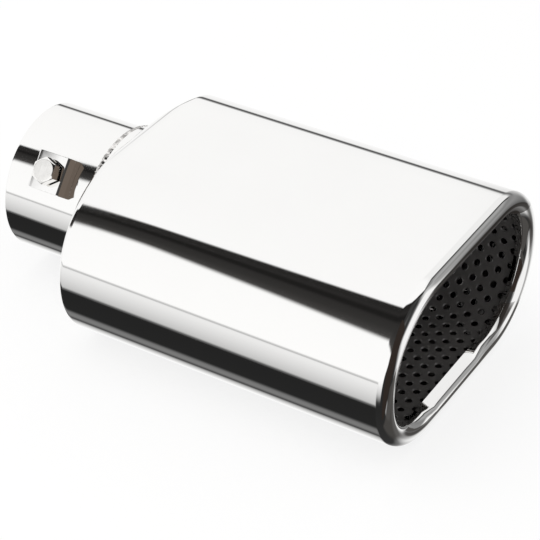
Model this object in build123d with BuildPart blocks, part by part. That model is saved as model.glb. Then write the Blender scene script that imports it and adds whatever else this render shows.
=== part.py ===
from build123d import *
import os
from math import cos, radians, sin, tan

# Clamp-on exhaust tip. The origin is the centre of the sleeve's open mouth.
# +X runs along the gas path to the outlet, +Z is up, and the wide round sides face -Y and +Y.

# Inlet sleeve, the round tube that slides over the tailpipe
sleeve_outer_radius = 31.75
sleeve_wall = 1.5
sleeve_exposed_length = 42.0
sleeve_insertion = 8.0
seam_clearance = 0.05

# Outer shell, a flat oval with full round ends that grows out of a round collar
shell_length = 158.0
shell_width = 130.0
shell_height = 74.0
shell_wall = 1.2
collar_length = 3.5
shoulder_length = 7.5
shoulder_fullness = 1.25
shoulder_angles = (6, 22, 40, 58, 75, 90)
shoulder_hollow_angles = (6, 40, 68, 90)

# Lip rolled inwards round the outlet; its inner leg leans in towards the gas
lip_thickness = 9.2
lip_depth = 6.1
lip_leg_slant = 20.0
lip_angles = (0, 30, 60, 90)
lip_hollow_angles = (0, 45, 90)
leg_round_steps = 2
leg_hollow_steps = 2

# Ring weld between the sleeve and the collar
weld_leg = 2.6

# Perforated liner, lapped round the inner leg of the rolled lip
liner_sheet = 1.0
liner_lap = 1.4
liner_clearance = 0.1
liner_length = 31.0
liner_edge_margin = 2.7
hole_diameter = 3.0
hole_sides = 6
holes_per_row = 47
hole_rows = 4
hole_row_pitch = 4.8
hole_phase = 0.41

# Clamp bracket, a strap folded from sheet that stands on the sleeve's near upper side
bracket_centre_x = 22.5
bracket_angle = 40.0
bracket_length = 18.0
bracket_width = 16.2
bracket_sheet = 1.5
bracket_bend_radius = 1.5
bracket_hole_clearance = 0.3
sleeve_hole_clearance = 0.5

# M6 clamp bolt and the thin nut under the bracket
bolt_diameter = 6.0
bolt_length = 8.0
bolt_tip_setback = 0.1
head_across_flats = 10.0
head_height = 4.0
head_chamfer_diameter = 9.0
head_chamfer_angle = 30.0
head_turn = 38.0
nut_across_flats = 10.0
nut_height = 3.2
nut_floor_clearance = 0.8
thread_clearance = 0.1

# Places along the gas path
collar_start = sleeve_exposed_length
shoulder_start = collar_start + collar_length
shoulder_end = shoulder_start + shoulder_length
outlet_end = collar_start + shell_length
lip_back = outlet_end - lip_depth
lip_round_start = outlet_end - lip_thickness / 2
liner_front = lip_back + liner_lap
sleeve_length = sleeve_exposed_length + sleeve_insertion

# Radii and insets from the shell's outer face
sleeve_inner_radius = sleeve_outer_radius - sleeve_wall
collar_inner_radius = sleeve_outer_radius + seam_clearance
collar_outer_radius = collar_inner_radius + shell_wall
lip_outer_round = lip_thickness / 2
lip_inner_round = lip_outer_round - shell_wall
leg_lean = tan(radians(lip_leg_slant))
leg_sheet_across = shell_wall / cos(radians(lip_leg_slant))
liner_inner_inset = lip_thickness - leg_sheet_across - liner_lap * leg_lean - liner_clearance
liner_outer_inset = liner_inner_inset - liner_sheet

# The lip's inner round runs from the crest to the straight leg, and touches both
leg_round = (lip_thickness - lip_outer_round - lip_depth * leg_lean) / (
    cos(radians(lip_leg_slant)) - leg_lean * (1 - sin(radians(lip_leg_slant))))
leg_round_centre = outlet_end - leg_round

# Heights above the sleeve's axis on the clamp's own line
nut_base = sleeve_outer_radius + nut_floor_clearance
bracket_underside = nut_base + nut_height
bracket_top = bracket_underside + bracket_sheet
bolt_tip = sleeve_inner_radius + bolt_tip_setback
head_seat = bolt_tip + bolt_length

# The clamp's line leans back from -Y by the bracket's angle
clamp_direction = (0, -cos(radians(bracket_angle)), sin(radians(bracket_angle)))
clamp_plane = Plane(origin=(bracket_centre_x, 0, 0), x_dir=(1, 0, 0), z_dir=clamp_direction)
clamp_section = Plane(origin=clamp_plane.origin, x_dir=(1, 0, 0), z_dir=-clamp_plane.y_dir)
clamp_axis = Axis(clamp_plane.origin, clamp_plane.z_dir)


def oval(inset):
    # Width and height of the shell's flat oval, drawn in from its outer face
    return shell_width - 2 * inset, shell_height - 2 * inset


def shoulder_stations(inset, angles):
    # Place, width and height of the dome's sections, from the round collar to the full oval
    neck = 2 * (collar_outer_radius - inset)
    full_width, full_height = oval(inset)
    stations = []
    for angle in angles:
        growth = sin(radians(angle)) ** shoulder_fullness
        advance = 1 - cos(radians(angle)) ** shoulder_fullness
        place = shoulder_start + inset + advance * shoulder_length
        stations.append((place, neck + growth * (full_width - neck), neck + growth * (full_height - neck)))
    return stations


def lip_stations(edge_inset, radius, angles):
    # Place, width and height of the lip's outer round, from the body to the crest
    stations = []
    for angle in angles:
        place = lip_round_start + radius * sin(radians(angle))
        stations.append((place, *oval(edge_inset + radius * (1 - cos(radians(angle))))))
    return stations


def leg_stations(depth, steps):
    # Place, width and height of the lip's inner leg at a depth in its sheet, from its free edge to the crest
    stations = [(lip_back, *oval(lip_thickness - depth / cos(radians(lip_leg_slant))))]
    for step in range(steps + 1):
        angle = radians(lip_leg_slant + (90 - lip_leg_slant) * step / steps)
        place = leg_round_centre + (leg_round - depth) * sin(angle)
        stations.append((place, *oval(lip_outer_round + (leg_round - depth) * cos(angle))))
    return stations


os.makedirs("parts", exist_ok=True)

# The hollow inside the rolled lip, a ring with a round nose
with BuildPart() as lip_hollow:
    with BuildSketch(Plane.YZ.offset(lip_back)):
        SlotOverall(*oval(shell_wall))
    extrude(amount=lip_round_start - lip_back)
    for place, width, height in lip_stations(shell_wall, lip_inner_round, lip_hollow_angles):
        with BuildSketch(Plane.YZ.offset(place)):
            SlotOverall(width, height)
    loft(ruled=True)
    for place, width, height in leg_stations(shell_wall, leg_hollow_steps):
        with BuildSketch(Plane.YZ.offset(place)):
            SlotOverall(width, height)
    loft(ruled=True, mode=Mode.SUBTRACT)

# Outer shell: collar, domed shoulder, straight oval body and rolled lip in one sheet
with BuildPart() as outer_shell:
    with BuildSketch(Plane.YZ.offset(collar_start)):
        Circle(collar_outer_radius)
    extrude(amount=collar_length + shell_wall)
    for place, width, height in shoulder_stations(0, shoulder_angles):
        with BuildSketch(Plane.YZ.offset(place)):
            SlotOverall(width, height)
    loft(ruled=True)
    with BuildSketch(Plane.YZ.offset(shoulder_end)):
        SlotOverall(*oval(0))
    extrude(amount=lip_round_start - shoulder_end)
    for place, width, height in lip_stations(0, lip_outer_round, lip_angles):
        with BuildSketch(Plane.YZ.offset(place)):
            SlotOverall(width, height)
    loft(ruled=True)
    # Mouth inside the rolled lip
    for place, width, height in leg_stations(0, leg_round_steps):
        with BuildSketch(Plane.YZ.offset(place)):
            SlotOverall(width, height)
    loft(ruled=True, mode=Mode.SUBTRACT)
    # Inside of the collar, the dome and the body
    with BuildSketch(Plane.YZ.offset(collar_start)):
        Circle(collar_inner_radius)
    extrude(amount=collar_length + 2 * shell_wall, mode=Mode.SUBTRACT)
    for place, width, height in shoulder_stations(shell_wall, shoulder_hollow_angles):
        with BuildSketch(Plane.YZ.offset(place)):
            SlotOverall(width, height)
    loft(ruled=True, mode=Mode.SUBTRACT)
    with BuildSketch(Plane.YZ.offset(shoulder_end + shell_wall)):
        SlotOverall(*oval(shell_wall))
    extrude(amount=lip_back - shoulder_end - shell_wall, mode=Mode.SUBTRACT)
    add(lip_hollow.part, mode=Mode.SUBTRACT)
outer_shell.part.label = "outer_shell"
export_step(outer_shell.part, "parts/outer_shell.step")

# Inlet sleeve with the hole that lets the bolt through to the pipe
with BuildPart() as inlet_sleeve:
    with BuildSketch(Plane.YZ):
        Circle(sleeve_outer_radius)
        Circle(sleeve_inner_radius, mode=Mode.SUBTRACT)
    extrude(amount=sleeve_length)
    with BuildSketch(clamp_plane.offset(sleeve_inner_radius - sleeve_wall)):
        Circle(bolt_diameter / 2 + sleeve_hole_clearance)
    extrude(amount=3 * sleeve_wall, mode=Mode.SUBTRACT)
inlet_sleeve.part.label = "inlet_sleeve"
export_step(inlet_sleeve.part, "parts/inlet_sleeve.step")

# Weld bead in the corner between the sleeve and the collar's end
with BuildPart() as weld_bead:
    with BuildSketch(Plane.XZ):
        with BuildLine():
            toe = (collar_start - weld_leg, collar_inner_radius)
            root = (collar_start, collar_inner_radius)
            crest = (collar_start, collar_outer_radius)
            Polyline(toe, root, crest, close=True)
        make_face()
    revolve(axis=Axis.X)
weld_bead.part.label = "weld_bead"
export_step(weld_bead.part, "parts/weld_bead.step")

# The liner's section is drawn in flat facets, two to a hole pitch, so each hole is punched in a flat.
# Every second row of holes is shifted by half a pitch.
liner_middle_inset = (liner_inner_inset + liner_outer_inset) / 2
liner_middle = Plane.YZ * SlotOverall(*oval(liner_middle_inset))
liner_path = liner_middle.wire()
inner_corners = []
outer_corners = []
hole_planes = []
for facet in range(2 * holes_per_row):
    corner_share = ((hole_phase + (facet + 0.5) / 2) / holes_per_row) % 1
    corner = liner_path @ corner_share
    outward = Vector(1, 0, 0).cross(liner_path % corner_share)
    inner = corner - outward * liner_sheet / 2
    outer = corner + outward * liner_sheet / 2
    inner_corners.append((inner.Y, inner.Z))
    outer_corners.append((outer.Y, outer.Z))
    hole_share = ((hole_phase + facet / 2) / holes_per_row) % 1
    outward = Vector(1, 0, 0).cross(liner_path % hole_share)
    for row in range(facet % 2, hole_rows, 2):
        row_x = liner_front - liner_edge_margin - row * hole_row_pitch
        place = liner_path @ hole_share + Vector(row_x, 0, 0) - outward * liner_sheet
        hole_planes.append(Plane(origin=place, x_dir=(1, 0, 0), z_dir=outward))

# Perforated liner, an oval sleeve of thin sheet with staggered rows of holes
with BuildPart() as perforated_liner:
    with BuildSketch(Plane.YZ.offset(liner_front)):
        Polygon(*outer_corners, align=None)
        Polygon(*inner_corners, align=None, mode=Mode.SUBTRACT)
    extrude(amount=-liner_length)
    with BuildSketch(*hole_planes):
        RegularPolygon(hole_diameter / 2, hole_sides)
    extrude(amount=2 * liner_sheet, mode=Mode.SUBTRACT)
perforated_liner.part.label = "perforated_liner"
export_step(perforated_liner.part, "parts/perforated_liner.step")

# Clamp bracket: a strap with two rounded folds, its feet cut to the sleeve's curve
with BuildPart() as clamp_bracket:
    half_length = bracket_length / 2
    with BuildSketch(clamp_section):
        with BuildLine():
            strap = FilletPolyline(
                (-half_length, 0), (-half_length, bracket_top),
                (half_length, bracket_top), (half_length, 0),
                radius=bracket_bend_radius + bracket_sheet)
            offset(strap, amount=bracket_sheet, side=Side.RIGHT)
        make_face()
    extrude(amount=bracket_width / 2, both=True)
    with BuildSketch(Plane.YZ):
        Circle(collar_inner_radius)
    extrude(amount=sleeve_length, mode=Mode.SUBTRACT)
    with BuildSketch(clamp_plane.offset(bracket_underside)):
        Circle(bolt_diameter / 2 + bracket_hole_clearance)
    extrude(amount=bracket_sheet, mode=Mode.SUBTRACT)
clamp_bracket.part.label = "clamp_bracket"
export_step(clamp_bracket.part, "parts/clamp_bracket.step")

# Thin nut held against the underside of the bracket
with BuildPart() as clamp_nut:
    with BuildSketch(clamp_plane.offset(nut_base)):
        RegularPolygon(nut_across_flats / 2, 6, major_radius=False)
        Circle(bolt_diameter / 2 + thread_clearance, mode=Mode.SUBTRACT)
    extrude(amount=nut_height)
clamp_nut.part.label = "clamp_nut"
export_step(clamp_nut.part, "parts/clamp_nut.step")

# Clamp bolt, backed off until its tip is just clear of the bore
with BuildPart() as clamp_bolt:
    with BuildSketch(clamp_plane.offset(head_seat)):
        RegularPolygon(head_across_flats / 2, 6, major_radius=False, rotation=head_turn)
    extrude(amount=head_height)
    # The head's corners are turned off at a shallow angle
    with BuildSketch(clamp_section):
        with BuildLine():
            head_top = head_seat + head_height
            inner = head_chamfer_diameter / 2
            outer = head_across_flats
            drop = (outer - inner) * tan(radians(head_chamfer_angle))
            Polyline((inner, head_top), (outer, head_top), (outer, head_top - drop), close=True)
        make_face()
    revolve(axis=clamp_axis, mode=Mode.SUBTRACT)
    with BuildSketch(clamp_plane.offset(bolt_tip)):
        Circle(bolt_diameter / 2)
    extrude(amount=bolt_length)
clamp_bolt.part.label = "clamp_bolt"
export_step(clamp_bolt.part, "parts/clamp_bolt.step")
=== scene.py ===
import bpy
import bmesh
from math import atan2, cos, pi, radians, sin, tan
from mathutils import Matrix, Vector


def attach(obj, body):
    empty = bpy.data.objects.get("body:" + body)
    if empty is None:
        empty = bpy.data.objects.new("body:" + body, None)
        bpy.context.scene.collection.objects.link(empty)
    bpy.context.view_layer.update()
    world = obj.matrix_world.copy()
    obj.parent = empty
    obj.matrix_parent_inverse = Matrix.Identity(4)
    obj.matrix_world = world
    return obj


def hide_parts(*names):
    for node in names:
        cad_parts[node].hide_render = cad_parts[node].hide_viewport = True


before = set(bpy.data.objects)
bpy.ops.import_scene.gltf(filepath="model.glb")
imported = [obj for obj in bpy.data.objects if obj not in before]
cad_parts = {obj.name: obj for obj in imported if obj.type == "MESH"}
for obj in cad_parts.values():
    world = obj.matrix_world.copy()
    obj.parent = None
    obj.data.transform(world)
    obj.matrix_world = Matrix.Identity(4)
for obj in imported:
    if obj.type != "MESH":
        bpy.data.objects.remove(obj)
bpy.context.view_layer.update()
scene = bpy.context.scene
mm = 0.001
touch = 0.01  # places closer than this, in mm, count as one
print("frame loaded:", sorted(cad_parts))


# everyday handling of meshes

def wake(piece):
    # makes one object the only one selected and active
    if bpy.context.object and bpy.context.object.mode != "OBJECT":
        bpy.ops.object.mode_set(mode="OBJECT")
    bpy.ops.object.select_all(action="DESELECT")
    if piece:
        piece.select_set(True)
        bpy.context.view_layer.objects.active = piece


def bakePlace(piece):
    wake(piece)
    bpy.ops.object.transform_apply(location=True, rotation=True, scale=True)


def editing(piece):
    wake(piece)
    bpy.ops.object.mode_set(mode="EDIT")
    bpy.ops.mesh.select_mode(type="VERT")
    bpy.ops.mesh.select_all(action="SELECT")


def pick(test, kind="verts"):
    # selects the verts, edges or faces of the mesh in edit mode that pass the test
    bpy.ops.mesh.select_mode(type={"verts": "VERT", "edges": "EDGE", "faces": "FACE"}[kind])
    bpy.ops.mesh.select_all(action="DESELECT")
    mesh = bmesh.from_edit_mesh(bpy.context.object.data)
    for part in getattr(mesh, kind):
        if test(part):
            part.select_set(True)
    mesh.select_flush_mode()
    bmesh.update_edit_mesh(bpy.context.object.data)


def push(*offset):
    # extrudes what is selected and moves it by an offset in mm
    move = tuple(value * mm for value in offset)
    bpy.ops.mesh.extrude_region_move(TRANSFORM_OT_translate={"value": move})


def startRing(verts, radius, place):
    # an open ring round the gas path, left in edit mode
    wake(None)
    bpy.ops.mesh.primitive_circle_add(vertices=verts, radius=radius * mm, location=(place * mm, 0, 0),
                                      rotation=(0, pi / 2, 0))
    piece = bpy.context.object
    bakePlace(piece)
    editing(piece)
    return piece


def faceOut(piece, topPoint):
    # recalculates normals, then flips them if the face nearest a point on the outer top looks down
    editing(piece)
    bpy.ops.mesh.normals_make_consistent(inside=False)
    bpy.ops.object.mode_set(mode="OBJECT")
    point = Vector(topPoint) * mm
    near = min(piece.data.polygons, key=lambda face: (face.center - point).length)
    if near.normal.z < 0:
        editing(piece)
        bpy.ops.mesh.flip_normals()
        bpy.ops.object.mode_set(mode="OBJECT")


def modify(piece, kind, **settings):
    # adds one modifier, sets it up and applies it at once
    wake(piece)
    change = piece.modifiers.new(kind.title(), kind)
    for key, value in settings.items():
        setattr(change, key, value)
    bpy.ops.object.modifier_apply(modifier=change.name)


def thicken(piece, sheet):
    # gives a skin its wall, inwards
    modify(piece, "SOLIDIFY", thickness=sheet * mm, offset=-1, use_even_offset=True)


def easeEdges(piece, width, cuts, angle):
    # rounds the edges that turn by more than the angle
    modify(piece, "BEVEL", width=width * mm, segments=cuts, limit_method="ANGLE",
           angle_limit=radians(angle))


def cutWith(piece, cutter, how="DIFFERENCE"):
    modify(piece, "BOOLEAN", object=cutter, operation=how, solver="EXACT")
    bpy.data.objects.remove(cutter, do_unlink=True)


def finishPiece(piece, name, node, body, finish, angle=35, even=False):
    # even lets the large faces set the shading so that flats stay flat beside their rounded edges
    bakePlace(piece)
    piece.name = name
    piece.data.name = name
    bpy.ops.object.shade_smooth_by_angle(angle=radians(angle))
    if even:
        modify(piece, "WEIGHTED_NORMAL", keep_sharp=True)
    piece.data.materials.clear()
    piece.data.materials.append(finishes[finish])
    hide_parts(node)
    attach(piece, body)
    print("made", name, "with", len(piece.data.polygons), "faces")


# everyday handling of shader nodes

def addNode(tree, kind, **settings):
    node = tree.nodes.new(kind)
    for key, value in settings.items():
        setattr(node, key, value)
    return node


def feed(tree, socket, value):
    # a socket takes a plain value or another node's output
    if isinstance(value, bpy.types.NodeSocket):
        tree.links.new(value, socket)
    else:
        socket.default_value = value


def calc(tree, operation, *values, clamp=False):
    node = addNode(tree, "ShaderNodeMath", operation=operation, use_clamp=clamp)
    for socket, value in zip(node.inputs, values):
        feed(tree, socket, value)
    return node.outputs[0]


def between(tree, value, low, high, smooth=True):
    # 0 at low and 1 at high, held beyond them; low may be the larger of the two
    node = addNode(tree, "ShaderNodeMapRange", interpolation_type="SMOOTHSTEP" if smooth else "LINEAR")
    for label, given in (("Value", value), ("From Min", low), ("From Max", high)):
        feed(tree, node.inputs[label], given)
    return node.outputs[0]


def blend(tree, factor, first, second, kind="MIX"):
    node = addNode(tree, "ShaderNodeMix", data_type="RGBA", blend_type=kind)
    for label, given in (("Factor", factor), ("A", first), ("B", second)):
        feed(tree, node.inputs[label], given)
    return node.outputs["Result"]


def mixShaders(tree, factor, first, second):
    node = addNode(tree, "ShaderNodeMixShader")
    for place, given in enumerate((factor, first, second)):
        feed(tree, node.inputs[place], given)
    return node.outputs[0]


def clearTree(owner):
    # the owner's node tree, emptied
    owner.use_nodes = True
    owner.node_tree.nodes.clear()
    return owner.node_tree


def linear(level):
    # a screen level of 0 to 255 as linear light
    share = level / 255
    return share / 12.92 if share <= 0.04045 else ((share + 0.055) / 1.055) ** 2.4


# finishes

polishSizes = {"smudgeDetail": 3, "smudgeRoughness": 0.55, "lineDetail": 2, "lineRoughness": 0.5,
               "lineStretch": 0.06, "lineShare": 0.5, "middle": 0.75}
polishInputs = {"Smudge Scale": 30.0, "Line Scale": 900.0, "Roughness": 0.05, "Spread": 0.04}


def addNoise(tree, place, scale, detail, roughness):
    node = addNode(tree, "ShaderNodeTexNoise")
    for label, given in (("Vector", place), ("Scale", scale), ("Detail", detail), ("Roughness", roughness)):
        feed(tree, node.inputs[label], given)
    return node.outputs["Fac"]


def makePolishMarks(size, inputs):
    # fine buffing lines round the part, soft smudges and a height for the bump
    tree = bpy.data.node_groups.new("polishMarks", "ShaderNodeTree")
    for label, value in inputs.items():
        socket = tree.interface.new_socket(label, in_out="INPUT", socket_type="NodeSocketFloat")
        socket.default_value = value
    for label in ("Roughness", "Height", "Smudge"):
        tree.interface.new_socket(label, in_out="OUTPUT", socket_type="NodeSocketFloat")
    given = addNode(tree, "NodeGroupInput").outputs
    result = addNode(tree, "NodeGroupOutput").inputs
    place = addNode(tree, "ShaderNodeTexCoord").outputs["Object"]
    stretch = addNode(tree, "ShaderNodeMapping")
    stretch.inputs["Scale"].default_value = (1.0, size["lineStretch"], size["lineStretch"])
    tree.links.new(place, stretch.inputs["Vector"])
    smudge = addNoise(tree, place, given["Smudge Scale"], size["smudgeDetail"], size["smudgeRoughness"])
    lines = addNoise(tree, stretch.outputs["Vector"], given["Line Scale"], size["lineDetail"],
                     size["lineRoughness"])
    mixed = calc(tree, "MULTIPLY_ADD", lines, size["lineShare"], smudge)
    centred = calc(tree, "SUBTRACT", mixed, size["middle"])
    rough = calc(tree, "MULTIPLY_ADD", centred, given["Spread"], given["Roughness"], clamp=True)
    for label, value in (("Roughness", rough), ("Height", lines), ("Smudge", smudge)):
        tree.links.new(value, result[label])
    return tree


def makeFinish(name, marks, look):
    # one metal or paint: two tones mixed by the smudges, roughness and bump from the shared marks
    finish = bpy.data.materials.new(name)
    finish.use_nodes = True
    tree = finish.node_tree
    shader = tree.nodes["Principled BSDF"].inputs
    group = addNode(tree, "ShaderNodeGroup", node_tree=marks)
    for label, value in look["marks"].items():
        group.inputs[label].default_value = value
    low, high = look.get("mix", (0.0, 1.0))
    share = between(tree, group.outputs["Smudge"], low, high, False)
    tree.links.new(blend(tree, share, (*look["toneA"], 1), (*look["toneB"], 1)), shader["Base Color"])
    tree.links.new(group.outputs["Roughness"], shader["Roughness"])
    bump = addNode(tree, "ShaderNodeBump")
    bump.inputs["Strength"].default_value = look["bump"]
    bump.inputs["Distance"].default_value = look["bumpDepth"] * mm
    tree.links.new(group.outputs["Height"], bump.inputs["Height"])
    tree.links.new(bump.outputs["Normal"], shader["Normal"])
    shader["Metallic"].default_value = look["metallic"]
    shader["Specular IOR Level"].default_value = look.get("shine", 0.5)
    return finish


finishLooks = {
    "polishedStainless": {
        "toneA": (0.91, 0.905, 0.895), "toneB": (0.88, 0.875, 0.865), "metallic": 1.0,
        "bump": 0.02, "bumpDepth": 0.02,
        "marks": {"Smudge Scale": 26, "Line Scale": 1500, "Roughness": 0.045, "Spread": 0.05}},
    "weldMetal": {
        "toneA": (0.92, 0.90, 0.88), "toneB": (0.36, 0.35, 0.34), "metallic": 1.0, "mix": (0.38, 0.62),
        "bump": 0.9, "bumpDepth": 0.14,
        "marks": {"Smudge Scale": 420, "Line Scale": 1600, "Roughness": 0.22, "Spread": 0.3}},
    "blackLiner": {
        "toneA": (0.092, 0.088, 0.086), "toneB": (0.122, 0.117, 0.114), "metallic": 0.0, "shine": 0.8,
        "bump": 0.03, "bumpDepth": 0.03,
        "marks": {"Smudge Scale": 120, "Line Scale": 2600, "Roughness": 0.29, "Spread": 0.06}},
    "fastenerSteel": {
        "toneA": (0.93, 0.92, 0.90), "toneB": (0.88, 0.87, 0.85), "metallic": 1.0,
        "bump": 0.06, "bumpDepth": 0.03,
        "marks": {"Smudge Scale": 300, "Line Scale": 2400, "Roughness": 0.1, "Spread": 0.1}},
}
polishMarks = makePolishMarks(polishSizes, polishInputs)
finishes = {name: makeFinish(name, polishMarks, look) for name, look in finishLooks.items()}
print("finishes ready:", sorted(finishes))


# outer shell: one sheet pushed ring by ring from the round collar to the rolled lip

shellSizes = {
    "collarStart": 42.0, "collarRadius": 33.0, "collarEdge": 0.3,
    "shoulderStart": 45.5, "shoulderLength": 7.5, "shoulderFullness": 1.25,
    "bodyRadius": 37.0, "bodySpread": 28.0, "sheet": 1.2,
    "bodyRings": (54.0, 56.0, 60.0, 80.0, 120.0, 160.0, 186.0, 193.0, 195.0),
    "lipRoundStart": 195.4, "lipRound": 4.6, "lipThickness": 9.2, "lipBack": 193.9, "legSlant": 20.0,
    # how much of the leg's slant each stretch across the flats takes: from, to, share
    "splay": ((-26.0, -22.5, 0.5), (-22.5, 12.5, 1.0), (12.5, 16.0, 0.8), (16.0, 19.5, 0.3)),
    "ringVerts": 192, "shoulderRings": 30, "lipRings": 11, "legRings": 10, "flatCuts": 15,
    "legShares": (0.15, 0.5, 0.85, 1.0), "topPoint": (120.0, 0.0, 37.0)}


def legProfile(size, slant):
    # place and inset of the lip's inner side: a round from the crest, then a straight leg with that slant
    crest = size["lipRoundStart"] + size["lipRound"]
    lean = radians(slant)
    legRound = ((size["lipThickness"] - size["lipRound"] - (crest - size["lipBack"]) * tan(lean))
                / (cos(lean) - tan(lean) * (1 - sin(lean))))
    profile = []
    for step in range(1, size["legRings"] + 1):
        turn = pi / 2 - (pi / 2 - lean) * step / size["legRings"]
        profile.append((crest - legRound * (1 - sin(turn)), size["lipRound"] + legRound * cos(turn)))
    joint, free = profile[-1], (size["lipBack"], size["lipThickness"])
    for share in size["legShares"]:
        profile.append(tuple(a + (b - a) * share for a, b in zip(joint, free)))
    return profile


def shellRings(size):
    # place along the gas path, radius of the round sides and how far each stands from the middle
    grow = size["bodyRadius"] - size["collarRadius"]
    rings = [(size["shoulderStart"] - size["collarEdge"], size["collarRadius"], 0.0),
             (size["shoulderStart"], size["collarRadius"], 0.0)]
    for step in range(1, size["shoulderRings"] + 1):
        turn = pi / 2 * step / size["shoulderRings"]
        share = sin(turn) ** size["shoulderFullness"]
        rise = 1 - max(cos(turn), 0.0) ** size["shoulderFullness"]
        rings.append((size["shoulderStart"] + rise * size["shoulderLength"],
                      size["collarRadius"] + share * grow, share * size["bodySpread"]))
    for place in (*size["bodyRings"], size["lipRoundStart"]):
        rings.append((place, size["bodyRadius"], size["bodySpread"]))
    for step in range(1, size["lipRings"] + 1):
        turn = pi / 2 * step / size["lipRings"]
        rings.append((size["lipRoundStart"] + size["lipRound"] * sin(turn),
                      size["bodyRadius"] - size["lipRound"] * (1 - cos(turn)), size["bodySpread"]))
    for place, inset in legProfile(size, 0.0):
        rings.append((place, size["bodyRadius"] - inset, size["bodySpread"]))
    return rings


def pushRing(last, ring):
    # extrudes the open rim, then resizes each half about its own arc centre and moves the halves apart
    place, radius, spread = ring
    push(place - last[0], 0, 0)
    mesh = bmesh.from_edit_mesh(bpy.context.object.data)
    rim = {vert.index for vert in mesh.verts if vert.select}
    ratio = radius / last[1]
    for side in (-1, 1):
        pick(lambda vert: vert.index in rim and vert.co.y * side > 0)
        bpy.ops.transform.resize(value=(1, ratio, ratio),
                                 center_override=(place * mm, side * last[2] * mm, 0))
        bpy.ops.transform.translate(value=(0, side * (spread - last[2]) * mm, 0))
    pick(lambda vert: vert.index in rim)


def splayFlatLegs(size):
    # the lip's leg leans outwards along the flat top and bottom, where the round ends don't hold it in
    straight, slanted = legProfile(size, 0.0), legProfile(size, size["legSlant"])
    for (place, inset), (newPlace, newInset) in zip(straight, slanted):
        height = size["bodyRadius"] - inset
        mesh = bmesh.from_edit_mesh(bpy.context.object.data)
        ring = {vert.index for vert in mesh.verts
                if abs(vert.co.x / mm - place) < touch and abs(abs(vert.co.z) / mm - height) < touch}
        for start, stop, share in size["splay"]:
            for side in (-1, 1):
                pick(lambda vert: (vert.index in ring and vert.co.z * side > 0
                                   and start <= vert.co.y / mm < stop))
                bpy.ops.transform.translate(value=((newPlace - place) * share * mm, 0,
                                                   side * (inset - newInset) * share * mm))


def makeOuterShell(size):
    piece = startRing(size["ringVerts"], size["collarRadius"], size["collarStart"])
    bpy.ops.transform.rotate(value=pi / size["ringVerts"], orient_axis="X", center_override=(0, 0, 0))
    last = (size["collarStart"], size["collarRadius"], 0.0)
    for ring in shellRings(size):
        bmesh.from_edit_mesh(piece.data).verts.index_update()
        pushRing(last, ring)
        last = ring
    # the long edges over the flat top and bottom get cuts so that the shading stays flat there
    pick(lambda edge: edge.verts[0].co.y * edge.verts[1].co.y < 0, "edges")
    bpy.ops.mesh.subdivide(number_cuts=size["flatCuts"])
    splayFlatLegs(size)
    bpy.ops.object.mode_set(mode="OBJECT")
    faceOut(piece, size["topPoint"])
    thicken(piece, size["sheet"])
    finishPiece(piece, "outerShell", "outer_shell", "tip", "polishedStainless")


makeOuterShell(shellSizes)


# inlet sleeve: round tube with eased mouth edges and the hole for the bolt

sleeveSizes = {
    "radius": 31.75, "wall": 1.5, "rings": (0.6, 1.5, 6.0, 17.0, 28.0, 38.0, 44.0, 49.4, 50.0),
    "ringVerts": 192, "edge": 0.35, "edgeCuts": 3, "edgeAngle": 40.0, "holeFrom": -4.0, "holeTo": 2.0,
    "topPoint": (12.0, 0.0, 32.0)}

# the clamp's sizes stand here because the sleeve's hole is on the clamp's line
clampSizes = {
    "x": 22.5, "lean": 50.0, "length": 18.0, "width": 16.2, "sheet": 1.5, "bend": 3.0, "bendCuts": 7,
    "top": 37.25, "legDrop": 12.0, "footRadius": 31.8, "footVerts": 256, "footLength": 60.0,
    "boltHole": 6.6, "holeFrom": -4.0, "holeTo": 3.0, "sleeveHole": 7.0, "holeVerts": 48,
    "edge": 0.22, "edgeCuts": 2, "edgeAngle": 50.0}


def clampCutter(width, low, high):
    # a cylinder on the clamp's own line, between two heights above the sleeve's axis
    wake(None)
    bpy.ops.mesh.primitive_cylinder_add(vertices=clampSizes["holeVerts"], radius=width / 2 * mm,
                                        depth=(high - low) * mm, location=(0, 0, (high + low) / 2 * mm))
    return bpy.context.object


def leanToClamp(piece):
    # from standing upright over the axis to the clamp's leaning line
    bakePlace(piece)
    piece.rotation_euler = (radians(clampSizes["lean"]), 0, 0)
    piece.location = (clampSizes["x"] * mm, 0, 0)
    bakePlace(piece)


def makeInletSleeve(size):
    piece = startRing(size["ringVerts"], size["radius"], 0.0)
    last = 0.0
    for place in size["rings"]:
        push(place - last, 0, 0)
        last = place
    bpy.ops.object.mode_set(mode="OBJECT")
    faceOut(piece, size["topPoint"])
    thicken(piece, size["wall"])
    easeEdges(piece, size["edge"], size["edgeCuts"], size["edgeAngle"])
    cutter = clampCutter(clampSizes["sleeveHole"], size["radius"] + size["holeFrom"],
                         size["radius"] + size["holeTo"])
    leanToClamp(cutter)
    cutWith(piece, cutter)
    finishPiece(piece, "inletSleeve", "inlet_sleeve", "tip", "polishedStainless",
                even=True)


makeInletSleeve(sleeveSizes)


# weld bead: a row of overlapping ripples run round the sleeve and melted into one skin

weldSizes = {"x": 41.1, "radius": 32.05, "ripples": 118, "ripple": (1.75, 2.0, 1.05), "slant": 14.0,
             "rippleVerts": 12, "rippleRings": 8, "voxel": 0.3, "lumpSize": 1.3, "lumpDepth": 0.5,
             "lumpMiddle": 0.6, "smoothAngle": 80}


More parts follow.
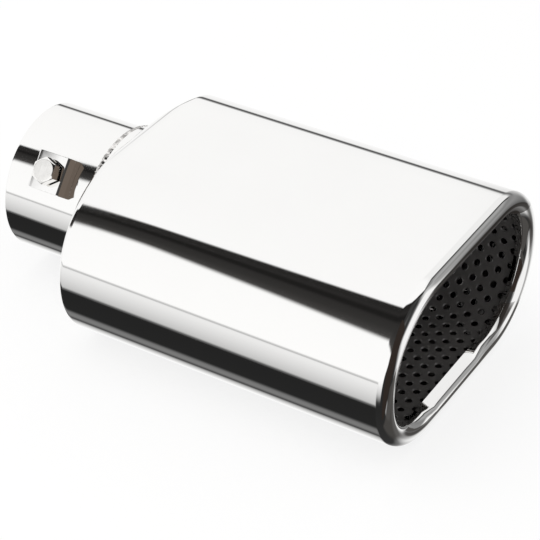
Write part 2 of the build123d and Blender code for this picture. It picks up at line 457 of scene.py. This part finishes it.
def makeWeldBead(size):
    wake(None)
    # a ball of 1 mm radius, scaled to one ripple
    bpy.ops.mesh.primitive_uv_sphere_add(segments=size["rippleVerts"], ring_count=size["rippleRings"],
                                         radius=mm)
    piece = bpy.context.object
    piece.scale = size["ripple"]
    piece.rotation_euler = (radians(size["slant"]), 0, 0)
    piece.location = (size["x"] * mm, 0, size["radius"] * mm)
    bakePlace(piece)
    editing(piece)
    copies = size["ripples"] - 1
    bpy.ops.mesh.spin(steps=copies, dupli=True, angle=2 * pi * copies / size["ripples"], center=(0, 0, 0),
                      axis=(1, 0, 0))
    bpy.ops.object.mode_set(mode="OBJECT")
    piece.data.remesh_voxel_size = size["voxel"] * mm
    wake(piece)
    bpy.ops.object.voxel_remesh()
    lumps = bpy.data.textures.new("weldLumps", "CLOUDS")
    lumps.noise_scale = size["lumpSize"] * mm
    modify(piece, "DISPLACE", texture=lumps, texture_coords="LOCAL", strength=size["lumpDepth"] * mm,
           mid_level=size["lumpMiddle"])
    finishPiece(piece, "weldBead", "weld_bead", "tip", "weldMetal", size["smoothAngle"])


makeWeldBead(weldSizes)


# perforated liner: one punched cell copied along and across, then wrapped round the oval

linerSizes = {"radius": 29.69, "spread": 28.0, "sheet": 1.0, "front": 195.3, "length": 31.0,
              "firstRow": 2.7, "rowPitch": 4.8, "rows": 6, "columns": 47, "start": 1.3, "spare": 1.0,
              "hole": 1.4, "rim": 0.4, "rimDepth": 0.5, "holeVerts": 18, "smoothAngle": 40,
              "topPoint": (170.0, 0.0, 29.1)}


def arcPoint(middle, radius, turn):
    # a point on a round side and its outward direction
    across, up = cos(turn), sin(turn)
    return Vector((0, middle + radius * across, radius * up)), Vector((0, across, up))


def ovalPoint(travel, radius, spread):
    # a point on the flat oval and its outward direction, measured up from the middle of the far round side
    quarter = radius * pi / 2
    flat = 2 * spread
    travel = (travel + quarter) % (4 * quarter + 2 * flat) - quarter
    if travel <= quarter:
        return arcPoint(spread, radius, travel / radius)
    travel -= quarter
    if travel <= flat:
        return Vector((0, spread - travel, radius)), Vector((0, 0, 1))
    travel -= flat
    if travel <= 2 * quarter:
        return arcPoint(-spread, radius, pi / 2 + travel / radius)
    travel -= 2 * quarter
    return Vector((0, -spread + travel, -radius)), Vector((0, 0, -1))


def punchCell(size, corners):
    # a hole with a dished rim, its outermost ring drawn out to the cell's straight sides
    wake(None)
    bpy.ops.mesh.primitive_circle_add(vertices=size["holeVerts"], radius=size["hole"] * mm,
                                      location=(0, 0, size["rimDepth"] * mm))
    piece = bpy.context.object
    bakePlace(piece)
    editing(piece)
    push(0, 0, -size["rimDepth"])
    wider = 1 + size["rim"] / size["hole"]
    bpy.ops.transform.resize(value=(wider, wider, 1), center_override=(0, 0, 0))
    push(0, 0, 0)
    perSide = size["holeVerts"] // len(corners)
    for vert in bmesh.from_edit_mesh(piece.data).verts:
        if vert.select:
            turn = (atan2(vert.co.y, vert.co.x) - pi / 2) / (2 * pi)
            side, step = divmod(round(turn * size["holeVerts"]) % size["holeVerts"], perSide)
            vert.co = corners[side].lerp(corners[(side + 1) % len(corners)], step / perSide) * mm
    bmesh.update_edit_mesh(piece.data)
    bpy.ops.object.mode_set(mode="OBJECT")
    return piece


def makePerforatedLiner(size):
    pitch = (4 * size["spread"] + 2 * pi * size["radius"]) / size["columns"]
    rowPitch = size["rowPitch"]
    # the cell is the six-sided patch that belongs to one hole of the staggered pattern
    high = (pitch * pitch / 4 + rowPitch * rowPitch) / (2 * rowPitch)
    low = rowPitch - high
    corners = [Vector((x, y, 0)) for x, y in ((0, high), (-pitch / 2, low), (-pitch / 2, -low),
                                              (0, -high), (pitch / 2, -low), (pitch / 2, low))]
    piece = punchCell(size, corners)
    for count, along, back in ((size["columns"], pitch, 0), (size["rows"], pitch / 2, -rowPitch)):
        modify(piece, "ARRAY", count=count, use_relative_offset=False, use_constant_offset=True,
               constant_offset_displace=(along * mm, back * mm, 0), use_merge_vertices=True,
               merge_threshold=touch * mm)
    # straight front and back borders
    lastRow = -(size["rows"] - 1) * rowPitch
    backEdge = size["firstRow"] - size["length"]
    borders = ((high + size["spare"], low - touch, 1), (backEdge, lastRow - low + touch, -1))
    for edge, limit, beyond in borders:
        editing(piece)
        pick(lambda part: part.is_boundary and all((v.co.y / mm - limit) * beyond > 0 for v in part.verts),
             "edges")
        bpy.ops.mesh.extrude_edges_move(TRANSFORM_OT_translate={"value": (0, 0, 0)})
        bpy.ops.transform.resize(value=(1, 0, 1), center_override=(0, edge * mm, 0))
    bpy.ops.mesh.select_all(action="SELECT")
    bpy.ops.mesh.bisect(plane_co=(0, size["firstRow"] * mm, 0), plane_no=(0, 1, 0), clear_outer=True)
    bpy.ops.object.mode_set(mode="OBJECT")
    # wrapped: the cell's x runs round the oval, its y along the gas path and its z outwards
    firstRowX = size["front"] - size["firstRow"]
    for vert in piece.data.vertices:
        point, outward = ovalPoint(vert.co.x / mm + size["start"], size["radius"], size["spread"])
        vert.co = (point + outward * (vert.co.z / mm) + Vector((firstRowX + vert.co.y / mm, 0, 0))) * mm
    editing(piece)
    bpy.ops.mesh.remove_doubles(threshold=touch * mm)
    bpy.ops.object.mode_set(mode="OBJECT")
    faceOut(piece, size["topPoint"])
    modify(piece, "SOLIDIFY", thickness=size["sheet"] * mm, offset=1)
    finishPiece(piece, "perforatedLiner", "perforated_liner", "tip", "blackLiner",
                size["smoothAngle"])


makePerforatedLiner(linerSizes)


# clamp bracket: a strap folded down at both ends, its feet cut to the sleeve

def makeClampBracket(size):
    wake(None)
    bpy.ops.mesh.primitive_plane_add(size=1, location=(0, 0, size["top"] * mm))
    piece = bpy.context.object
    piece.scale = (size["length"] * mm, size["width"] * mm, 1)
    bakePlace(piece)

    def atEnd(edge, sides):
        # an edge of the strap's top at one of those ends
        ends = [side * size["length"] / 2 for side in sides]
        return all(v.co.z / mm > size["top"] - touch
                   and min(abs(v.co.x / mm - end) for end in ends) < touch for v in edge.verts)

    for side in (-1, 1):
        editing(piece)
        pick(lambda edge: atEnd(edge, [side]), "edges")
        bpy.ops.mesh.extrude_edges_move(TRANSFORM_OT_translate={"value": (0, 0, -size["legDrop"] * mm)})
    pick(lambda edge: atEnd(edge, [-1, 1]), "edges")
    bpy.ops.mesh.bevel(offset=size["bend"] * mm, segments=size["bendCuts"], affect="EDGES")
    bpy.ops.object.mode_set(mode="OBJECT")
    faceOut(piece, (0, 0, size["top"]))
    thicken(piece, size["sheet"])
    cutter = clampCutter(size["boltHole"], size["top"] + size["holeFrom"], size["top"] + size["holeTo"])
    cutWith(piece, cutter)
    wake(None)
    bpy.ops.mesh.primitive_cylinder_add(vertices=size["footVerts"], radius=size["footRadius"] * mm,
                                        depth=size["footLength"] * mm, rotation=(0, pi / 2, 0))
    cutWith(piece, bpy.context.object)
    easeEdges(piece, size["edge"], size["edgeCuts"], size["edgeAngle"])
    leanToClamp(piece)
    finishPiece(piece, "clampBracket", "clamp_bracket", "tip", "polishedStainless",
                even=True)


makeClampBracket(clampSizes)


# clamp bolt: hex head with turned-off corners over a threaded shank

boltSizes = {
    "flats": 10.0, "headLow": 38.35, "headHigh": 42.35, "headTurn": 38.0, "chamferTop": 9.0,
    "chamferAngle": 30.0, "coneReach": 7.5, "coneBody": 6.0, "coneVerts": 96,
    "edge": 0.12, "edgeCuts": 2, "edgeAngle": 25.0,
    "tip": 30.35, "major": 3.0, "minor": 2.45, "pitch": 1.0, "crest": (0.42, 0.58), "turnVerts": 32,
    "spareTurns": 3, "merge": 0.005, "intoHead": 0.2, "smoothAngle": 30}


def makeBoltHead(size):
    low, high = size["headLow"], size["headHigh"]
    wake(None)
    bpy.ops.mesh.primitive_cylinder_add(vertices=6, radius=size["flats"] / 2 / cos(pi / 6) * mm,
                                        depth=(high - low) * mm, location=(0, 0, (high + low) / 2 * mm),
                                        rotation=(0, 0, radians(size["headTurn"] + 30)))
    head = bpy.context.object
    bakePlace(head)
    # the corners are turned off by a shallow cone on a straight body
    top = size["chamferTop"] / 2
    drop = (size["coneReach"] - top) * tan(radians(size["chamferAngle"]))
    wake(None)
    bpy.ops.mesh.primitive_cone_add(vertices=size["coneVerts"], radius1=size["coneReach"] * mm,
                                    radius2=top * mm, depth=drop * mm,
                                    location=(0, 0, (high - drop / 2) * mm))
    cutter = bpy.context.object
    bakePlace(cutter)
    editing(cutter)
    pick(lambda face: face.normal.z < -0.9, "faces")
    push(0, 0, -size["coneBody"])
    bpy.ops.object.mode_set(mode="OBJECT")
    cutWith(head, cutter, "INTERSECT")
    easeEdges(head, size["edge"], size["edgeCuts"], size["edgeAngle"])
    return head


def makeShank(size):
    # the thread is a notched profile screwed along the shank, then cut flat at the tip and inside the head
    wake(None)
    bpy.ops.mesh.primitive_plane_add(size=1)
    shank = bpy.context.object
    editing(shank)
    bpy.ops.mesh.delete(type="ONLY_FACE")
    mesh = bmesh.from_edit_mesh(shank.data)
    for edge in list(mesh.edges):
        mesh.edges.remove(edge)
    mesh.verts.ensure_lookup_table()
    crestStart, crestStop = size["crest"]
    profile = ((size["minor"], 0.0), (size["major"], crestStart), (size["major"], crestStop),
               (size["minor"], 1.0))
    for vert, (radius, share) in zip(mesh.verts, profile):
        vert.co = Vector((radius, 0, size["tip"] - size["pitch"] + share * size["pitch"])) * mm
    for first, second in zip(mesh.verts[:-1], mesh.verts[1:]):
        mesh.edges.new((first, second))
    bmesh.update_edit_mesh(shank.data)
    bpy.ops.object.mode_set(mode="OBJECT")
    turns = int(size["headLow"] - size["tip"]) + size["spareTurns"]
    modify(shank, "SCREW", angle=2 * pi, screw_offset=size["pitch"] * mm, iterations=turns,
           steps=size["turnVerts"], render_steps=size["turnVerts"], use_merge_vertices=True,
           merge_threshold=size["merge"] * mm, axis="Z")
    editing(shank)
    bpy.ops.mesh.remove_doubles(threshold=size["merge"] * mm)
    for height, clearAbove in ((size["tip"], False), (size["headLow"] + size["intoHead"], True)):
        bpy.ops.mesh.select_all(action="SELECT")
        bpy.ops.mesh.bisect(plane_co=(0, 0, height * mm), plane_no=(0, 0, 1), use_fill=True,
                            clear_inner=not clearAbove, clear_outer=clearAbove)
    bpy.ops.mesh.select_all(action="SELECT")
    bpy.ops.mesh.normals_make_consistent(inside=False)
    bpy.ops.object.mode_set(mode="OBJECT")
    return shank


def makeClampBolt(size):
    piece = makeBoltHead(size)
    shank = makeShank(size)
    wake(piece)
    shank.select_set(True)
    bpy.ops.object.join()
    leanToClamp(piece)
    finishPiece(piece, "clampBolt", "clamp_bolt", "bolt", "fastenerSteel",
                size["smoothAngle"], True)


makeClampBolt(boltSizes)

# the nut under the bracket keeps its own shape and takes the fastener finish
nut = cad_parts["clamp_nut"]
nut.data.materials.clear()
nut.data.materials.append(finishes["fastenerSteel"])


# studio: pale floor, soft light and what the polished metal mirrors

studio = {"floorZ": -37.05, "floorSize": 6000.0, "floorTone": 0.9, "floorGlow": 0.72, "floorWhite": 1.12,
          "softLight": 0.62, "softTone": (1.0, 0.995, 0.985), "glossWhite": 1.1,
          "lampEnergy": 5.0, "lampSize": 1.3, "lampPlace": (-250, -450, 1250), "lampAim": (100, 0, 0)}

# the bands that mirrored rays find, as screen levels by the angle round the gas path (0 near side,
# 90 above, 180 far side); a ray leans along the gas path from -1 at the inlet to 1 at the outlet
mirrored = {
    # for the long body, then for its rolled lip further forward, and one level for its shoulder
    "alongBody": ((-180, 240), (-142, 250), (-124, 246), (-118, 235), (-112, 216), (-106, 190), (-102, 150),
                  (-100, 85), (-97, 74), (-94, 106), (-91, 124), (-84, 116), (-81, 82), (-78, 38),
                  (-45, 36), (-42, 110), (-40, 195), (-34, 208), (-26, 222), (-16, 236), (-12.5, 238),
                  (-11.5, 180), (-10.2, 180), (-9.2, 255), (140, 250), (167.5, 246), (171, 130),
                  (173.5, 74), (175.8, 74), (178.4, 215), (180, 236)),
    "pastBody": ((-180, 170), (-165, 205), (-150, 240), (-130, 236), (-118, 120), (-108, 50), (-45, 40),
                 (-38, 40), (-33, 60), (-28, 140), (-22, 200), (-17, 222), (-10, 245), (-5, 255),
                 (125, 252), (134, 240), (145, 238), (162, 236), (168, 150), (173, 100), (177, 155),
                 (180, 170)),
    "pastFrom": (-0.36, -0.27), "shoulderFrom": (-0.64, -0.76), "shoulderLevel": 248,
    # the dark card's two edges, as angles by how far forward they are, and how soft each is
    "cardLow": ((-0.56, 40), (-0.53, 43), (-0.505, 49), (-0.48, 51), (-0.42, 47), (-0.35, 41), (-0.3, 38),
                (-0.2, 36), (0.0, 34), (0.2, 31), (0.4, 28), (0.6, 25)),
    "cardHigh": ((-0.56, 65), (-0.53, 68), (-0.505, 74), (-0.48, 77), (-0.42, 80), (-0.35, 84), (-0.3, 87),
                 (-0.2, 88), (0.0, 90), (0.2, 93), (0.4, 102), (0.6, 118)),
    "lowSoft": 3.0, "highSoft": 1.5,
    # the dark card's tones from its low edge to its high one
    "cardTones": ((0.0, 82), (0.12, 62), (0.3, 50), (0.5, 45), (0.58, 30), (0.66, 28), (0.76, 42),
                  (0.9, 36), (1.0, 32)),
    "cardWarmth": (1.0, 0.96, 0.93),
    # how far forward the white panels reach at each angle and how softly they end
    "panelEnd": ((-180, -0.02), (-165, 0.05), (-156, 0.13), (-148, 0.27), (-144, 0.42), (-135, 0.5),
                 (-125, 0.5), (-110, 0.3), (-60, 0.1), (-20, 0.24), (-10, 0.28), (0, 0.34), (10, 0.45),
                 (20, 0.54), (30, 0.6), (90, 0.35), (100, 0.4), (117, 0.54), (125, 0.58), (137, 0.3),
                 (153, 0.18), (165, 0.08), (180, -0.02)),
    "panelSoft": ((-180, 0.22), (-150, 0.12), (-125, 0.15), (-110, 0.1), (-60, 0.03), (160, 0.03),
                  (170, 0.12), (180, 0.22)),
    # the grey room past the panels' ends
    "ahead": ((-180, 138), (-170, 126), (-162, 112), (-155, 92), (-150, 82), (-146, 130), (-142, 186),
              (-137, 190), (-133, 150), (-128, 80), (-120, 55), (-105, 45), (-40, 40), (60, 46), (100, 60),
              (120, 90), (135, 125), (143, 139), (151, 168), (158, 150), (166, 128), (180, 138)),
    # a lighter ring in the room, where the body's mirrored rays go in views from the inlet end
    "ring": ((-180, 152), (-160, 146), (-142, 146), (-128, 160), (-112, 168), (-92, 164), (-70, 140),
             (-52, 76), (-40, 46), (-22, 60), (-12, 90), (0, 140), (9, 205), (17, 238), (30, 240),
             (39, 205), (47, 140), (56, 104), (75, 76), (94, 52), (112, 48), (119, 100), (126, 160),
             (138, 182), (151, 180), (166, 160), (180, 152)),
    "ringFrom": (0.62, 0.67), "ringTo": (0.83, 0.77),
    # a thin dark gap at the panels' ends above and on the far side: how far past the end, and which angles
    "gapStart": 0.03, "gapFade": 0.1, "gapEnd": 0.14, "gapLow": (85, 100), "gapHigh": (168, 160),
    "gapLevel": 44,
}

# cards that only mirrored rays meet, each a glowing sheet that paints a reflection into the metal: tone on
# screen, and the share of each side that is soft
cards = {
    # frontCard glows white though it is no lamp: a painted highlight in the lip's reflections
    "frontCard": {"middle": (350, 49, -7.5), "size": (210, 268), "turn": (-90, -30, 90),
                  "tone": (255, 255, 255), "soft": 0.23, "cover": 1.0},
    # sideCard, lipCard, endCard and clampCard paint dark reflections of shade into the lip's inner side and
    # the clamp's bends
    "sideCard": {"middle": (313, -80, 37), "size": (214, 150), "turn": (-90, 0, 0),
                 "tone": (50, 43, 39), "soft": 0.02, "cover": 1.0},
    "lipCard": {"middle": (204.5, 14, 22), "size": (26, 96), "turn": (0, 0, 0),
                "tone": (46, 43, 41), "soft": 0.18, "cover": 0.94},
    "endCard": {"middle": (204, 43, -22), "size": (26, 18), "turn": (180, 0, 0),
                "tone": (46, 40, 36), "soft": 0.45, "cover": 0.95},
    "clampCard": {"middle": (38.4, -32, 26), "size": (52, 52), "turn": (90, 0, -90),
                  "tone": (112, 101, 92), "soft": 0.3, "cover": 1.0},
    # the three floor cards paint the floor's shadow in front of the mouth into the reflections; the floor
    # the camera sees stays evenly white
    "nearFloorShadowCard": {"middle": (251, -43.5, -36.9), "size": (98, 63), "turn": (0, 0, 0),
                      "tone": (74, 72, 70), "soft": 0.08, "cover": 0.95},
    "midFloorShadowCard": {"middle": (219, 29, -36.9), "size": (34, 86), "turn": (0, 0, 0),
                     "tone": (80, 78, 76), "soft": 0.08, "cover": 0.95},
    "farFloorShadowCard": {"middle": (262, 98, -15), "size": (94, 84), "turn": (0, 0, 0),
                     "tone": (62, 60, 58), "soft": 0.08, "cover": 0.95},
}


def makeFloor(look):
    wake(None)
    bpy.ops.mesh.primitive_plane_add(size=look["floorSize"] * mm, location=(0, 0, look["floorZ"] * mm))
    floor = bpy.context.object
    floor.name = "studioFloor"
    bakePlace(floor)
    paper = bpy.data.materials.new("studioPaper")
    tree = clearTree(paper)
    out = addNode(tree, "ShaderNodeOutputMaterial")
    plain = addNode(tree, "ShaderNodeBsdfDiffuse")
    plain.inputs["Color"].default_value = (look["floorTone"],) * 3 + (1,)
    white = addNode(tree, "ShaderNodeEmission")
    white.inputs["Strength"].default_value = look["floorWhite"]
    path = addNode(tree, "ShaderNodeLightPath")
    share = calc(tree, "MULTIPLY", path.outputs["Is Camera Ray"], look["floorGlow"])
    tree.links.new(mixShaders(tree, share, plain.outputs[0], white.outputs[0]), out.inputs["Surface"])
    floor.data.materials.append(paper)
    floor.visible_glossy = False


def rampOf(tree, value, stops, low, high, scale=None):
    # a colour ramp over value from low to high; levels are screen levels unless a scale is given
    node = addNode(tree, "ShaderNodeValToRGB")
    marks = node.color_ramp.elements
    while len(marks) > 1:
        marks.remove(marks[-1])
    for count, (place, level) in enumerate(stops):
        share = (place - low) / (high - low)
        mark = marks[0] if count == 0 else marks.new(share)
        mark.position = share
        mark.color = ((linear(level) if scale is None else level / scale),) * 3 + (1,)
    tree.links.new(between(tree, value, low, high, False), node.inputs["Fac"])
    colour = node.outputs["Color"]
    return colour if scale is None else calc(tree, "MULTIPLY", colour, scale)


def mirroredBands(tree, seen):
    # the colour that a mirrored ray finds in its direction
    place = addNode(tree, "ShaderNodeTexCoord")
    split = addNode(tree, "ShaderNodeSeparateXYZ")
    tree.links.new(place.outputs["Generated"], split.inputs[0])
    forward = split.outputs["X"]
    turn = calc(tree, "ARCTAN2", split.outputs["Z"], calc(tree, "MULTIPLY", split.outputs["Y"], -1.0))
    angle = calc(tree, "MULTIPLY", turn, 180 / pi)

    def byAngle(name, scale=None):
        return rampOf(tree, angle, seen[name], -180, 180, scale)

    def plus(value, more):
        return calc(tree, "ADD", value, more)

    def minus(value, less):
        return calc(tree, "SUBTRACT", value, less)

    def both(first, second):
        return calc(tree, "MULTIPLY", first, second)

    past = between(tree, forward, *seen["pastFrom"])
    bands = blend(tree, past, byAngle("alongBody"), byAngle("pastBody"))
    shoulder = between(tree, forward, *seen["shoulderFrom"])
    bands = blend(tree, shoulder, bands, (linear(seen["shoulderLevel"]),) * 3 + (1,))
    # the dark card over the body
    low = rampOf(tree, forward, seen["cardLow"], -1, 1, 180)
    high = rampOf(tree, forward, seen["cardHigh"], -1, 1, 180)
    above = between(tree, angle, minus(low, seen["lowSoft"]), plus(low, seen["lowSoft"]))
    below = between(tree, angle, plus(high, seen["highSoft"]), minus(high, seen["highSoft"]))
    tones = rampOf(tree, between(tree, angle, low, high, False), seen["cardTones"], 0, 1)
    warmth = seen["cardWarmth"]
    bands = blend(tree, both(above, below), bands, blend(tree, 1.0, tones, (*warmth, 1), "MULTIPLY"))
    # the room past the panels' ends, its lighter ring and the dark gap
    end = byAngle("panelEnd", 1)
    soft = byAngle("panelSoft", 1)
    room = between(tree, forward, minus(end, soft), plus(end, soft))
    bands = blend(tree, room, bands, byAngle("ahead"))
    ring = both(between(tree, forward, *seen["ringFrom"]), between(tree, forward, *seen["ringTo"]))
    bands = blend(tree, ring, bands, byAngle("ring"))
    gap = both(between(tree, forward, end, plus(end, seen["gapStart"])),
               between(tree, forward, plus(end, seen["gapEnd"]), plus(end, seen["gapFade"])))
    gapAngles = both(between(tree, angle, *seen["gapLow"]), between(tree, angle, *seen["gapHigh"]))
    dark = tuple(linear(seen["gapLevel"]) * tint for tint in warmth) + (1,)
    return blend(tree, both(gap, gapAngles), bands, dark)


def makeWorld(look, seen):
    # mirrored rays meet the bands, the camera and see-through rays white, and all others a soft light
    world = bpy.data.worlds.new("studioWorld")
    scene.world = world
    tree = clearTree(world)

    def background(colour, strength):
        node = addNode(tree, "ShaderNodeBackground")
        feed(tree, node.inputs["Color"], colour)
        node.inputs["Strength"].default_value = strength
        return node.outputs[0]

    out = addNode(tree, "ShaderNodeOutputWorld")
    path = addNode(tree, "ShaderNodeLightPath")
    mirror = background(mirroredBands(tree, seen), look["glossWhite"])
    soft = background((*look["softTone"], 1), look["softLight"])
    white = background((1, 1, 1, 1), 1.0)
    lit = mixShaders(tree, path.outputs["Is Glossy Ray"], soft, mirror)
    direct = calc(tree, "MAXIMUM", path.outputs["Is Camera Ray"], path.outputs["Is Transmission Ray"])
    tree.links.new(mixShaders(tree, direct, lit, white), out.inputs["Surface"])


def lookAt(thing, place, target):
    aim = Vector(target) - Vector(place)
    thing.rotation_euler = aim.to_track_quat("-Z", "Y").to_euler()


def makeLamp(look):
    wake(None)
    bpy.ops.object.light_add(type="AREA", location=[c * mm for c in look["lampPlace"]])
    lamp = bpy.context.object
    lamp.name = "softTop"
    lamp.data.energy = look["lampEnergy"]
    lamp.data.size = look["lampSize"]
    lookAt(lamp, look["lampPlace"], look["lampAim"])
    lamp.visible_glossy = False


def makeCard(name, look):
    wake(None)
    bpy.ops.mesh.primitive_plane_add(size=1, location=[c * mm for c in look["middle"]],
                                     rotation=[radians(c) for c in look["turn"]])
    card = bpy.context.object
    card.name = name
    card.scale = (look["size"][0] * mm, look["size"][1] * mm, 1)
    bakePlace(card)
    sheet = bpy.data.materials.new(name)
    tree = clearTree(sheet)
    out = addNode(tree, "ShaderNodeOutputMaterial")
    place = addNode(tree, "ShaderNodeTexCoord")
    split = addNode(tree, "ShaderNodeSeparateXYZ")
    tree.links.new(place.outputs["UV"], split.inputs[0])
    # a card is seen from its front only
    shape = addNode(tree, "ShaderNodeNewGeometry")
    cover = calc(tree, "MULTIPLY_ADD", shape.outputs["Backfacing"], -look["cover"], look["cover"])
    for axis in ("X", "Y"):
        for low, high in ((0.0, look["soft"]), (1.0, 1.0 - look["soft"])):
            cover = calc(tree, "MULTIPLY", between(tree, split.outputs[axis], low, high), cover)
    clear = addNode(tree, "ShaderNodeBsdfTransparent")
    # the card glows in its tone: the painted reflection that mirrored rays meet
    glow = addNode(tree, "ShaderNodeEmission")
    glow.inputs["Color"].default_value = (*(linear(level) for level in look["tone"]), 1)
    tree.links.new(mixShaders(tree, cover, clear.outputs[0], glow.outputs[0]), out.inputs["Surface"])
    card.data.materials.append(sheet)
    for kind in ("camera", "diffuse", "transmission", "volume_scatter", "shadow"):
        setattr(card, "visible_" + kind, False)


makeFloor(studio)
makeWorld(studio, mirrored)
for cardName, cardLook in cards.items():
    makeCard(cardName, cardLook)
makeLamp(studio)
print("studio ready")


# camera, from the front right and above

cameraPlace = {"location": (450.8, -559.2, 458.7), "aim": (114.70, -6.69, -4.14), "lens": 131.05,
               "sensor": 36.0}


def makeCamera(look):
    wake(None)
    bpy.ops.object.camera_add(location=[c * mm for c in look["location"]])
    camera = bpy.context.object
    camera.data.lens = look["lens"]
    camera.data.sensor_width = look["sensor"]
    lookAt(camera, look["location"], look["aim"])
    scene.camera = camera


makeCamera(cameraPlace)
scene.view_settings.view_transform = "Standard"

bpy.context.view_layer.update()
